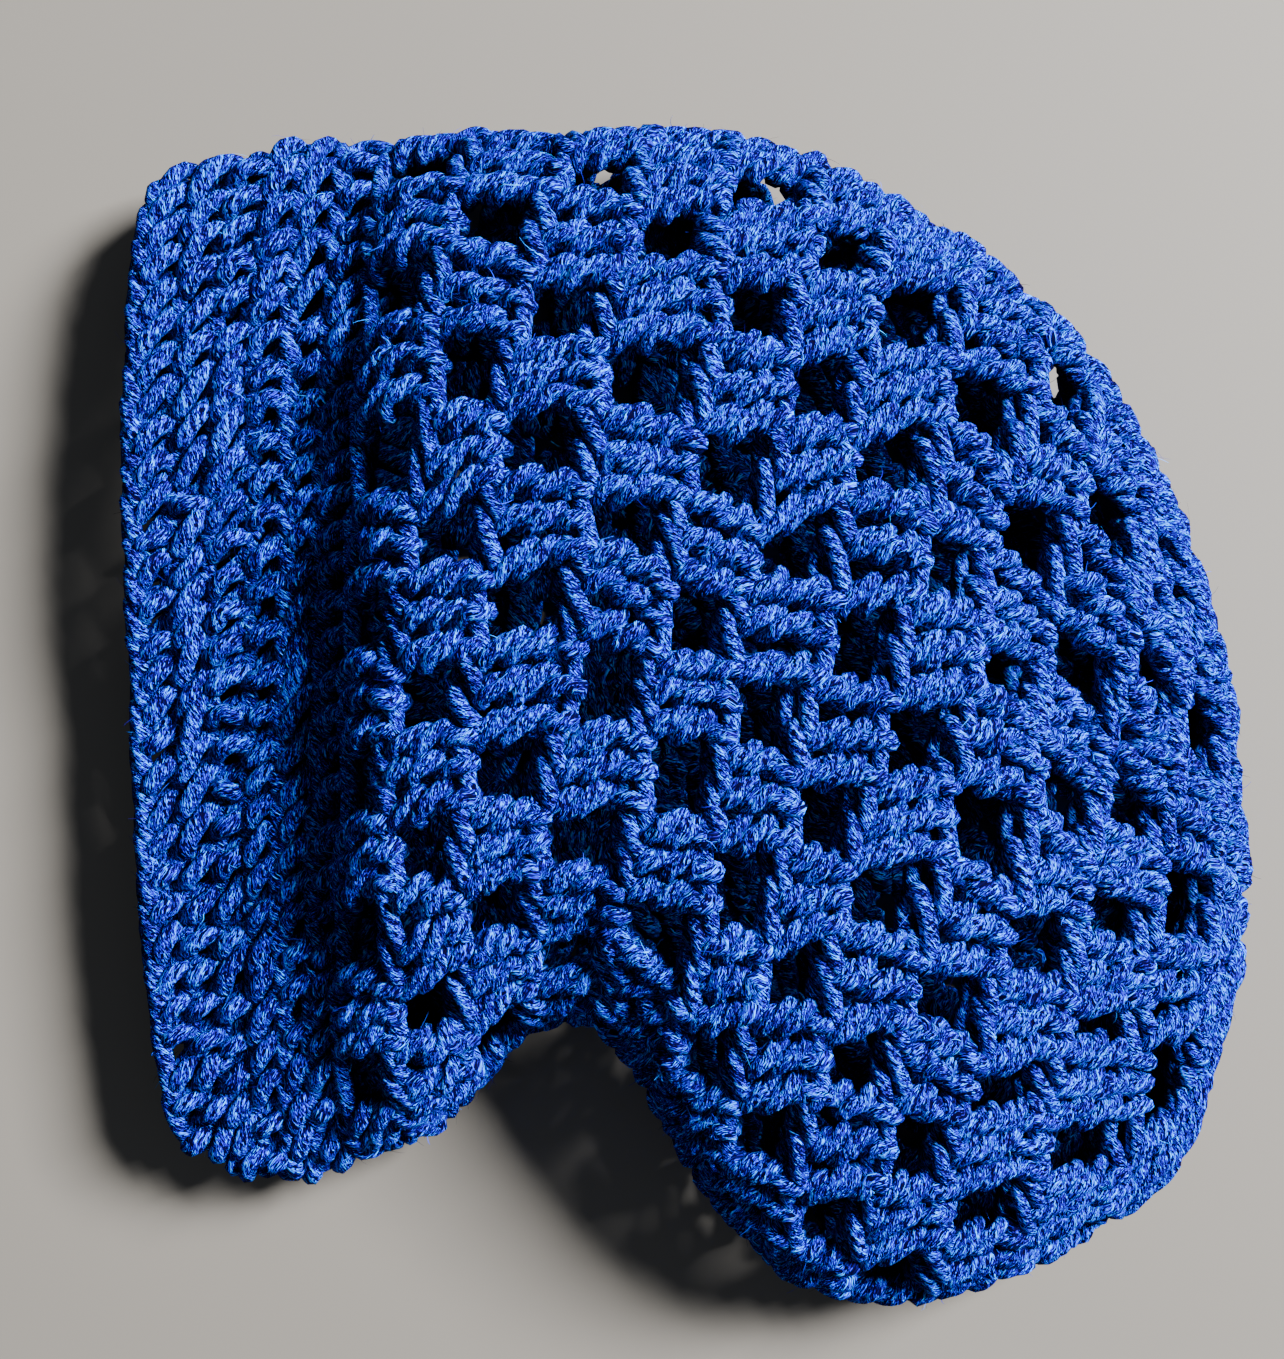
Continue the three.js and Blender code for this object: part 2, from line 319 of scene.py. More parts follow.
def carried_directions(path):
    """The tangent, side and up directions at each step of paths of the shape (strands, steps, 3).

    The cross-section is carried along without twisting: the side of the step before loses its part
    along the new tangent. The first side is square to the tangent and to an axis that isn't near it.
    """
    tangent = np.gradient(path, axis=1)
    tangent /= np.linalg.norm(tangent, axis=2, keepdims=True) + TINY
    helper = np.where(np.abs(tangent[:, 0, 2:]) < UPRIGHT, [[0.0, 0.0, 1.0]], [[1.0, 0.0, 0.0]])
    side = np.empty_like(path)
    first = np.cross(helper, tangent[:, 0])
    side[:, 0] = first / np.linalg.norm(first, axis=1, keepdims=True)
    for step in range(1, path.shape[1]):
        carried = side[:, step - 1]
        along = np.sum(carried * tangent[:, step], axis=1, keepdims=True)
        flat = carried - along * tangent[:, step]
        side[:, step] = flat / (np.linalg.norm(flat, axis=1, keepdims=True) + TINY)
    return tangent, side, np.cross(tangent, side)


# %% The faces and the map of a tube
TUBE_SIDES = 7
MAP_LENGTH = 10 * MM
MAP_SHIFT = 10.0


def tube_faces(strands, steps):
    """The faces of tubes, as numbers of their points: four-cornered sides, and the closed ends."""
    strand = np.arange(strands)[:, None, None]
    step = np.arange(steps - 1)[None, :, None]
    corner = np.arange(TUBE_SIDES)[None, None, :]
    next_corner = (corner + 1) % TUBE_SIDES
    here = (strand * steps + step) * TUBE_SIDES
    ahead = here + TUBE_SIDES
    sides = np.stack([here + corner, here + next_corner, ahead + next_corner, ahead + corner], axis=-1)
    first_ends = here[:, 0] + corner[0, :, ::-1]
    last_ends = ahead[:, -1] + corner[0]
    return sides.reshape(-1, 4), np.concatenate([first_ends, last_ends])


def tube_maps(path):
    """The tubes' own coordinates at the corners of their sides and of their ends.

    The first is the share of the way round. The second is the length walked along the path, in
    units of MAP_LENGTH, from a random start on each strand.
    """
    strands, steps, _ = path.shape
    lengths = np.linalg.norm(np.diff(path, axis=1), axis=2)
    walked = np.concatenate([np.zeros((strands, 1)), np.cumsum(lengths, axis=1)], axis=1)
    walked = walked / MAP_LENGTH + random.uniform(0, MAP_SHIFT, (strands, 1))
    shape = (strands, steps - 1, TUBE_SIDES)
    along_here = np.broadcast_to(walked[:, :-1, None], shape)
    along_next = np.broadcast_to(walked[:, 1:, None], shape)
    turn_here = np.broadcast_to(np.arange(TUBE_SIDES) / TUBE_SIDES, shape)
    turn_next = np.broadcast_to(np.arange(1, TUBE_SIDES + 1) / TUBE_SIDES, shape)
    side_maps = np.stack([
        np.stack([turn_here, along_here], axis=-1),
        np.stack([turn_next, along_here], axis=-1),
        np.stack([turn_next, along_next], axis=-1),
        np.stack([turn_here, along_next], axis=-1),
    ], axis=-2)
    first_maps = np.stack([turn_here[:, 0, ::-1], along_here[:, 0]], axis=-1)
    last_maps = np.stack([turn_here[:, 0], along_next[:, -1]], axis=-1)
    return side_maps.reshape(-1, 2), np.concatenate([first_maps, last_maps]).reshape(-1, 2)


# %% [markdown]
# ## Loose fibres
# Real yarn is a little fuzzy at its edges. A hair system could make the fibres, but only real faces
# are kept with the model, so each fibre is a narrow ribbon that stands off its strand.

# %% Loose fibres, in millimetres but for their width
FIBRES_PER_STEP = 0.25
FIBRE_STEPS = 4
FIBRE_WIDTH = 0.13 * MM
FIBRE_LENGTHS = (1.5, 4.5)
FIBRE_LIFTS = (0.2, 1.1)
FIBRE_BEND = 0.8
FIBRE_TAPER = 0.6
FIBRE_ARC = 0.6 * np.pi


def loose_fibres(points, outward, tangent):
    """Ribbons that leave the strands' skin: their points, faces and map, and the place of each root.

    A fibre heads in some direction along the skin and rises outward on a bent path: its height goes
    with the sine of the way along it, and its bend with the square. None goes into the floor.
    """
    strands, steps, sides, _ = points.shape
    count = int(strands * steps * FIBRES_PER_STEP)
    i = random.integers(0, strands, count)
    j = random.integers(2, steps - 2, count)
    k = random.integers(0, sides, count)
    out = outward[i, j, k]
    along = tangent[i, j]
    turn = random.uniform(0, 2 * np.pi, (count, 1))
    heading = along * np.cos(turn) + np.cross(along, out) * np.sin(turn)
    across = np.cross(heading, out)
    length = random.uniform(*FIBRE_LENGTHS, (count, 1, 1)) * MM
    lift = random.uniform(*FIBRE_LIFTS, (count, 1, 1)) * MM
    bend = random.normal(0, FIBRE_BEND, (count, 1, 1)) * MM
    u = np.linspace(0, 1, FIBRE_STEPS)[None, :, None]
    path = (points[i, j, k][:, None] + heading[:, None] * length * u
            + out[:, None] * lift * np.sin(FIBRE_ARC * u) + across[:, None] * bend * u**2)
    half = across[:, None] * FIBRE_WIDTH / 2 * (1 - FIBRE_TAPER * u)
    ribbons = np.stack([path - half, path + half], axis=2)
    ribbons[..., 2] = np.maximum(ribbons[..., 2], 0.0)
    first = 2 * (np.arange(count)[:, None] * FIBRE_STEPS + np.arange(FIBRE_STEPS - 1)[None, :])
    faces = np.stack([first, first + 1, first + 3, first + 2], axis=-1).reshape(-1, 4)
    spot = random.uniform(0, MAP_SHIFT, (count, 1, 1, 2))
    maps = np.broadcast_to(spot, (count, FIBRE_STEPS - 1, 4, 2)).reshape(-1, 2)
    return ribbons, faces, maps, (i, j, k)


# %% One mesh of many strands


class Yarn:
    """Collects strands of yarn, and makes one mesh of them."""

    def __init__(self):
        self.points = []
        self.heights = []
        self.faces = []
        self.maps = []
        self.ends = []
        self.end_maps = []
        self.count = 0

    def add(self, points, heights, faces, maps):
        """Adds points with their heights, and faces with their map. The faces count from zero."""
        self.points.append(points.reshape(-1, 3))
        self.heights.append(heights.ravel())
        self.faces.append(faces + self.count)
        self.maps.append(maps)
        self.count += points.size // 3

    def lay(self, path, radii, wall_normal, height):
        """Lays strands along paths of the shape (strands, steps, 3), with a radius at each step.

        Each point also keeps how far out of the wall it lies: its strand's height, plus its own
        offset along the wall's normal.
        """
        strands, steps, _ = path.shape
        tangent, side, up = carried_directions(path)
        angle = 2 * np.pi * np.arange(TUBE_SIDES) / TUBE_SIDES
        outward = np.cos(angle)[:, None] * side[:, :, None] + np.sin(angle)[:, None] * up[:, :, None]
        points = path[:, :, None] + outward * radii[:, :, None, None]
        # These heights drive the shade that the material paints deep in the wall.
        offset = radii[:, :, None] * np.sum(outward * wall_normal[:, :, None], axis=3)
        heights = height[:, :, None] + offset

        ribbons, faces, maps, roots = loose_fibres(points, outward, tangent)
        self.add(ribbons, np.repeat(heights[roots], 2 * FIBRE_STEPS), faces, maps)

        faces, ends = tube_faces(strands, steps)
        maps, end_maps = tube_maps(path)
        self.ends.append(ends + self.count)
        self.end_maps.append(end_maps)
        self.add(points, heights, faces, maps)

    def piece(self, name, material):
        """Makes the mesh, smooth-shaded, with its map, and lets it ride on the hat's body."""
        points = np.concatenate(self.points)
        faces = np.concatenate(self.faces)
        ends = np.concatenate(self.ends)
        maps = np.concatenate(self.maps + self.end_maps)
        corners = np.concatenate([faces.ravel(), ends.ravel()])
        starts = np.concatenate([4 * np.arange(len(faces)),
                                 faces.size + TUBE_SIDES * np.arange(len(ends))])
        mesh = bpy.data.meshes.new(name)
        mesh.vertices.add(len(points))
        mesh.vertices.foreach_set("co", points.astype(np.float32).ravel())
        mesh.loops.add(len(corners))
        mesh.loops.foreach_set("vertex_index", corners.astype(np.int32))
        mesh.polygons.add(len(starts))
        mesh.polygons.foreach_set("loop_start", starts.astype(np.int32))
        mesh.polygons.foreach_set("use_smooth", np.ones(len(starts), dtype=bool))
        mesh.update(calc_edges=True)
        layer = mesh.uv_layers.new(name="yarn")
        layer.data.foreach_set("uv", maps.astype(np.float32).ravel())
        # The heights, in millimetres, drive the painted shade of the yarn.
        height = mesh.attributes.new("height", "FLOAT", "POINT")
        height.data.foreach_set("value", (np.concatenate(self.heights) / MM).astype(np.float32))
        mesh.materials.append(material)
        piece = bpy.data.objects.new(name, mesh)
        bpy.context.collection.objects.link(piece)
        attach(piece, "root")
        return piece


# %% [markdown]
# ## Laying a strand in each stitch
# A stitch has coordinates of its own: how far round the hat, how far up the stitch, and how far out
# of the wall. One short table of points draws a strand. Copies of one finished stitch would stay
# stiff, so every stitch of a round gets its own copy of the points, which is bent onto the surface
# and differs a little from the others. Underneath, where the hat lies on itself, the stitches are
# bunched: wider and fuller.

# %% Where the lower layer is bunched
BUNCHED_FROM = 25.0 * MM
BUNCHED_TO = 45.0 * MM
LOWER_MIDDLE = 0.75
LOWER_HALF = 0.25


def bunched(around, ring):
    """How closely the lower layer is bunched up: 0 near the turned edges, 1 well away from them.

    The lower layer is the second half of a ring, so its middle lies three quarters of the way round.
    The share grows evenly with the distance from the nearer edge, between the two distances above.
    """
    middle = (around + through_table(ring, TURN_COLUMN) / CLUSTERS) % 1.0 - LOWER_MIDDLE
    from_edge = (LOWER_HALF - np.abs(middle)) * ring_length(ring)
    return np.clip((from_edge - BUNCHED_FROM) / (BUNCHED_TO - BUNCHED_FROM), 0, 1)


# %% Strands in stitches
ROUND_HEIGHT = 16.0
STRAND_SWAY = 0.4
STRAND_LIFT = 0.25
RADIUS_SPREAD = 0.06
LEAN_POWER = 0.8
END_RADII = (0.3, 0.85)
ABOVE_FLOOR = 1.01
FULLER_BELOW = 0.5


def lay_strands(yarn, around, ring, controls, steps, pitch, radius, slide=0.0, rise=1.0):
    """Lays one strand in each stitch: the smooth path through its control points, on the surface.

    controls holds, for each point, millimetres round the hat, the share of the way up the stitch
    from ring, and millimetres out. pitch is the ring's length in metres, and rise the stitch's
    height in rings. slide is how far round the hat the stitch leans from its foot to its top, as a
    share of the ring. Both ends of a strand are thinner, and it never goes into the floor.
    """
    count = len(around)
    size = np.array([STRAND_SWAY, STRAND_SWAY / ROUND_HEIGHT, STRAND_LIFT])
    local = np.broadcast_to(controls, (count,) + np.shape(controls)[-2:])
    local = smooth_path(local + random.standard_normal(local.shape) * size, steps)
    lean = np.reshape(slide, (-1, 1)) * np.clip(local[..., 1], 0, 1) ** LEAN_POWER
    side = around[:, None] + lean + local[..., 0] * MM / pitch
    height = local[..., 2] * MM
    path, normal = on_surface(side, ring - rise * local[..., 1], height)

    ends = np.ones(steps)
    ends[:2] = END_RADII
    ends[-2:] = END_RADII[::-1]
    fullness = 1 + RADIUS_SPREAD * random.standard_normal(count) + FULLER_BELOW * bunched(around, ring)
    radii = radius * ends[None, :] * fullness[:, None]
    path[..., 2] = np.maximum(path[..., 2], ABOVE_FLOOR * radii)
    yarn.lay(path, radii, normal, height)


# %% [markdown]
# ## The chain along the top of a round
# Every stitch ends in a loop that the next stitch comes out of. Side by side, the loops make a
# chain: one strand of it lies in front and leans, the other lies behind it, a little lower down.
# A cord with a braided picture on it could stand for the chain, but the loops reach from stitch to
# stitch at uneven distances, so each one is laid on its own. Across a gap of the net it lies flatter.

# %% The chain of loops
SHORT_REACH = 8.0
LONG_REACH = 14.0


def lay_chain(yarn, around, ring, pitch, height, steps, rise=1.0):
    """Lays one loop from each stitch to the next. height scales how far it stands out.

    The loop comes out from behind its stitch, leans over to the next one in front, and goes back
    behind. The points in its middle lie at half the reach, and a long reach is drawn flatter.
    """
    reach = ((np.roll(around, -1) - around) % 1.0) * pitch / MM
    zero = np.zeros(len(around))
    long_loop = np.clip((reach - SHORT_REACH) / (LONG_REACH - SHORT_REACH), 0, 1)
    rows = [
        # millimetres round the hat, share of the way up, millimetres out
        (zero - 2.0, zero + 0.15, zero - 1.2),
        (zero - 0.9, zero + 0.12, zero + 0.8 * height),
        (reach * 0.5, zero, (2.3 - 1.6 * long_loop) * height),
        (reach + 0.5, zero - 0.11, zero + 1.2 * height),
        (reach + 1.8, zero - 0.12, zero - 0.8),
        (reach + 1.2, zero + 0.09, zero - 1.6),
        (reach * 0.5, zero + 0.20, zero - 2.5 + 1.4 * long_loop),
        (zero + 0.2, zero + 0.13, zero - 2.2),
        (zero - 2.0, zero + 0.10, zero - 1.0),
    ]
    controls = np.stack([np.stack(row, axis=-1) for row in rows], axis=1)
    lay_strands(yarn, around, ring, controls, steps, pitch, CHAIN_RADIUS, rise=rise)


# %% [markdown]
# ## The crown: clusters of three tall stitches
# A tall stitch hangs on the gap of the round above it: its yarn goes round the chain there, and its
# two legs twist about each other on the way down, with two more turns of yarn across them.
# Three stitches share one gap, so they are pinched together at their foot and fan out at their top.
# A flat net with a picture of stitches would do from above only. Real strands keep the gaps open
# from every side, and shade each other as yarn does.

# %% The two legs of a tall stitch
POST_FROM = 0.13
POST_TO = 0.94
POST_TURNS = 1.2
POST_POINTS = 13
LEG_SIDE = 1.05
LEG_SIDE_GROWS = 0.5
LEG_DEPTH = 2.6
LEG_DEPTH_SHRINKS = 1.3
SHRINK_RATE = 1.6
LEG_DEPTH_GROWS = 0.3
POST_BULGE = 0.4
FOOT_LOOP = np.array([
    # millimetres round the hat, share of the way up, millimetres out
    (0.0, 0.05, 2.8), (-0.2, -0.03, 2.6), (-0.2, -0.06, 1.5), (0.0, -0.07, 0.0),
    (0.2, -0.06, -1.5), (0.2, -0.03, -2.6), (0.0, 0.05, -2.8),
])


def post_legs():
    """The control points of a tall stitch: down one leg, round the chain, and up the other leg.

    The legs are a twisted pair. Each goes round the stitch's middle line, half a turn from the
    other: its side step goes with the cosine of a growing angle, and its height with the sine. The
    pair is deep at the foot, where it goes round the chain, and flatter above it.
    """
    t = np.linspace(POST_FROM, POST_TO, POST_POINTS)
    grow = (t - POST_FROM) / (POST_TO - POST_FROM)
    wide = LEG_SIDE + LEG_SIDE_GROWS * grow
    shrunk = np.sin(np.pi / 2 * np.minimum(grow * SHRINK_RATE, 1))
    deep = LEG_DEPTH - LEG_DEPTH_SHRINKS * shrunk + LEG_DEPTH_GROWS * grow
    angle = np.pi / 2 - 2 * np.pi * POST_TURNS * grow
    rise = POST_BULGE * np.sin(np.pi * grow)
    front = np.stack([wide * np.cos(angle), t, deep * np.sin(angle) + rise], axis=-1)
    back = np.stack([-wide * np.cos(angle), t, -deep * np.sin(angle) + rise], axis=-1)
    return np.concatenate([front[::-1], FOOT_LOOP, back])


print("a tall stitch has", len(post_legs()), "control points")

# %% A round of the crown
FOOT_SPREAD = 6.2
TOP_SPREAD = 8.1
CLUSTER_PITCH = 33.0
CLUSTER_SWAY = 1.2
CLUSTER_SPREAD = 0.06
TOP_SWAY = 0.8
WIDEST_FOOT = 1.1
TOP_WIDER_BELOW = 0.6
FOOT_WIDER_BELOW = 1.1
WRAP = np.array([
    # millimetres round the hat, share of the way up, millimetres out
    (-2.0, 0.30, -2.0), (-2.9, 0.34, 0.0), (-2.2, 0.42, 2.0), (-0.6, 0.50, 2.7),
    (0.8, 0.60, 2.8), (2.4, 0.70, 2.1), (3.2, 0.76, 0.0), (2.4, 0.78, -2.0),
])
WRAP_SHIFTS = (-0.12, 0.17)
WRAP_SWAY = 0.03
POST_STEPS = 46
WRAP_STEPS = 13
CHAIN_STEPS = 18


def crown_round(number, material):
    """One round of the crown: its clusters, and the chain along its lower end.

    The clusters of each round lie half a cluster further round than those of the one before it. The
    three feet of a cluster stand closer together than its three tops, and both are as far apart as
    the round has room for.
    """
    clusters = CLUSTERS if number < FIRST_CENTRE_ROUND else CLUSTERS_AT_CENTRE
    pitch = ring_length(number)
    room = pitch / clusters / (CLUSTER_PITCH * MM)
    middles = (np.arange(clusters) + (number % 2) / 2 + 0.5) / clusters
    places = np.array([-1.0, 0.0, 1.0]) / pitch * MM
    sway = random.normal(0, CLUSTER_SWAY, (clusters, 1)) / pitch * MM
    below = bunched(middles, number)[:, None]
    full = room * (1 + TOP_WIDER_BELOW * below) * (1 + random.normal(0, CLUSTER_SPREAD, (clusters, 1)))
    pinched = min(room, WIDEST_FOOT) * (1 + FOOT_WIDER_BELOW * below)
    foot = (middles[:, None] + places * FOOT_SPREAD * pinched).ravel()
    top = (middles[:, None] + sway + places * TOP_SPREAD * full).ravel()
    top = top + random.normal(0, TOP_SWAY, top.shape) / pitch * MM

    yarn = Yarn()
    foot_ring = number + 0.5
    lay_strands(yarn, foot, foot_ring, post_legs(), POST_STEPS, pitch, YARN_RADIUS, slide=top - foot)
    for shift in WRAP_SHIFTS:
        along = shift + random.normal(0, WRAP_SWAY, (len(foot), 1, 1))
        wrap = WRAP + along * np.array([0.0, 1.0, 0.0])
        lay_strands(yarn, foot, foot_ring, wrap, WRAP_STEPS, pitch, WRAP_RADIUS, slide=top - foot)
    lay_chain(yarn, top, foot_ring - 1, pitch, 1.0, CHAIN_STEPS)
    return yarn.piece(f"crown_round_{number:02d}", material)


# %% [markdown]
# ## The band: short slanting stitches
# A short stitch shows one thick strand that slants across the round, with a second one deeper
# beside it. The chain lies low in the groove between two rounds, except next to the crown, where it
# makes a zigzag with the stitches, and along the opening. No two rounds slant and bow alike, so both
# are set round by round. Ribs pressed into a sheet would be simpler, but the edge at the opening
# shows every loop.

# %% A round of the band
SLANT = np.array([
    # millimetres round the hat, share of the way up, millimetres out
    (-2.9, 0.00, -2.6), (-3.2, 0.08, 0.0), (-2.3, 0.24, 2.4), (-0.1, 0.50, 3.4), (2.1, 0.76, 2.5),
    (3.2, 0.92, 0.2), (3.0, 1.00, -2.4),
])
SECOND_SLANT = np.array([
    # the same three columns
    (-7.2, -0.06, -2.6), (-6.4, 0.08, -1.6), (-4.3, 0.34, -0.9), (-2.0, 0.66, -0.8), (-0.2, 0.92, -1.6),
    (0.6, 1.04, -3.0),
])
HIDDEN_LEG = np.array([
    # the same three columns
    (-2.5, -0.12, -1.6), (-1.5, 0.1, -2.7), (0.0, 0.5, -3.2), (1.2, 0.9, -2.7), (1.8, 1.06, -1.6),
])
SLANT_OF_ROUND = (0.45, 0.80, 0.60, 0.70, 1.25, 0.95)
SLANT_SPREAD = 0.25
BOW_OF_ROUND = (1.5, 0.6, 0.9, 0.6, 0.3, 0.6)
BOW_SPREAD = 0.4
BRIM_START_RING = 0.42
ROUND_SHIFT = 0.37
STITCH_SWAY = 0.5 * MM
ZIGZAG_ROUNDS = (1, 2)
RAISED_CHAIN = 1.0
SUNKEN_CHAIN = -0.6
SLANT_STEPS = 14
SECOND_STEPS = 12
HIDDEN_STEPS = 9
BRIM_CHAIN_STEPS = 15


def brim_round(number, material):
    """One round of the band, worked towards the opening, with the chain along its lower end.

    The slanting strand's side steps are multiplied by the round's slant, and bowed back by the sine
    of the way up it.
    """
    rise = (BRIM_START_RING - OPENING_RING) / BRIM_ROUNDS
    base_ring = BRIM_START_RING - rise * (number - 1)
    pitch = ring_length(base_ring - rise / 2)
    around = (np.arange(BRIM_STITCHES) + ROUND_SHIFT * number) / BRIM_STITCHES
    around = around + random.normal(0, STITCH_SWAY / pitch, BRIM_STITCHES)
    yarn = Yarn()
    slant = SLANT_OF_ROUND[number - 1] * (1 + random.normal(0, SLANT_SPREAD, (BRIM_STITCHES, 1)))
    bow = BOW_OF_ROUND[number - 1] * (1 + random.normal(0, BOW_SPREAD, (BRIM_STITCHES, 1)))
    front = np.repeat(SLANT[None], BRIM_STITCHES, axis=0)
    front[..., 0] = SLANT[:, 0] * slant - bow * np.sin(np.pi * SLANT[:, 1])
    lay_strands(yarn, around, base_ring, front, SLANT_STEPS, pitch, SLANT_RADIUS, rise=rise)
    lay_strands(yarn, around, base_ring, SECOND_SLANT, SECOND_STEPS, pitch, YARN_RADIUS, rise=rise)
    lay_strands(yarn, around, base_ring, HIDDEN_LEG, HIDDEN_STEPS, pitch, YARN_RADIUS, rise=rise)
    raised = number in ZIGZAG_ROUNDS or number == BRIM_ROUNDS
    chain_height = RAISED_CHAIN if raised else SUNKEN_CHAIN
    lay_chain(yarn, around, base_ring - rise, pitch, chain_height, BRIM_CHAIN_STEPS, rise=rise)
    return yarn.piece(f"brim_round_{number}", material)


# %% [markdown]
# ## The finish of the yarn
# The yarn is a heather: fine bright fibres lie on a deep blue, and they follow the plies, which wind
# round the strand at a slant. The ridge of each ply catches the light through its bump; its colour is
# also painted lighter on the ridges and darker in the grooves, as painted shade. Towards the inside
# of the hat, deep in the wall and in the crevices between the stitches, the colour is painted darker:
# this is painted shade, not a tone of the yarn.
# A picture of wool could be wrapped round the strands, but it would repeat and show a seam. Noise on
# the strand's own map does neither, and it turns with the twist wherever the strand goes.

# %% A helper that adds nodes to one material
NOISE_DETAIL = 1.0
NOISE_ROUGHNESS = 0.6


class Nodes:
    """The nodes of one material, which it starts without."""

    def __init__(self, material):
        material.use_nodes = True
        self.nodes = material.node_tree.nodes
        self.links = material.node_tree.links
        self.nodes.clear()

    def add(self, kind, **values):
        """A new node, with its settings."""
        made = self.nodes.new(kind)
        for key, value in values.items():
            setattr(made, key, value)
        return made

    def math(self, operation, first, second=None):
        """The output of one sum, whose parts are numbers or other outputs."""
        made = self.add("ShaderNodeMath", operation=operation)
        for socket, value in zip(made.inputs, (first, second)):
            if value is None:
                continue
            if isinstance(value, (int, float)):
                socket.default_value = value
            else:
                self.links.new(value, socket)
        return made.outputs[0]

    def cylinder_noise(self, angle, along, radius, length, curl=0.0):
        """Noise at places on a cylinder: the cosine and the sine of the angle, and the way along."""
        place = self.add("ShaderNodeCombineXYZ")
        self.links.new(self.math("MULTIPLY", self.math("COSINE", angle), radius), place.inputs[0])
        self.links.new(self.math("MULTIPLY", self.math("SINE", angle), radius), place.inputs[1])
        self.links.new(self.math("MULTIPLY", along, length), place.inputs[2])
        noise = self.add("ShaderNodeTexNoise", noise_dimensions="3D")
        noise.inputs["Scale"].default_value = 1.0
        noise.inputs["Detail"].default_value = NOISE_DETAIL
        noise.inputs["Roughness"].default_value = NOISE_ROUGHNESS
        noise.inputs["Distortion"].default_value = curl
        self.links.new(place.outputs[0], noise.inputs["Vector"])
        return noise.outputs["Fac"]

    def ramp(self, value, stops):
        """The colour that a value has on a scale of stops."""
        made = self.add("ShaderNodeValToRGB")
        elements = made.color_ramp.elements
        while len(elements) < len(stops):
            elements.new(0.5)
        for element, (place, colour) in zip(elements, stops):
            element.position = place
            element.color = (*colour, 1)
        self.links.new(value, made.inputs[0])
        return made.outputs["Color"]


# %% The material of the yarn
FLECKS_ROUND = 5.2
FLECKS_ALONG = 12.0
FLECK_CURL = 1.1
PATCHES_ROUND = 0.9
PATCHES_ALONG = 1.1
FLECK_SHARE = 0.8
PATCH_SHARE = 0.2
TWIST = 0.9
PLIES = 4
# The plies' term in the colour is painted shade: lighter on the ridges, darker in the grooves.
PLY_MEAN = 0.64
PLY_PAINTED_SHADE = 0.06
# Painted shade: the yarn's colour is darkened where a point lies deep in the wall, down to a share of
# its tone.
PAINTED_SHADE_DEEPEST_HEIGHT = -2.0
PAINTED_SHADE_CLEAR_HEIGHT = 0.8
PAINTED_SHADE_TONE = 0.15
FLECK_RELIEF = 0.8
PLY_RELIEF = 0.35
RELIEF_DEPTH = 0.6 * MM
YARN_TONES = [
    # place on the scale of the flecks, colour
    (0.48, (0.001, 0.000, 0.012)),
    (0.51, (0.004, 0.000, 0.060)),
    (0.54, (0.010, 0.000, 0.200)),
    (0.57, (0.008, 0.000, 0.680)),
    (0.60, (0.001, 0.060, 1.000)),
    (0.66, (0.000, 0.360, 1.000)),
]


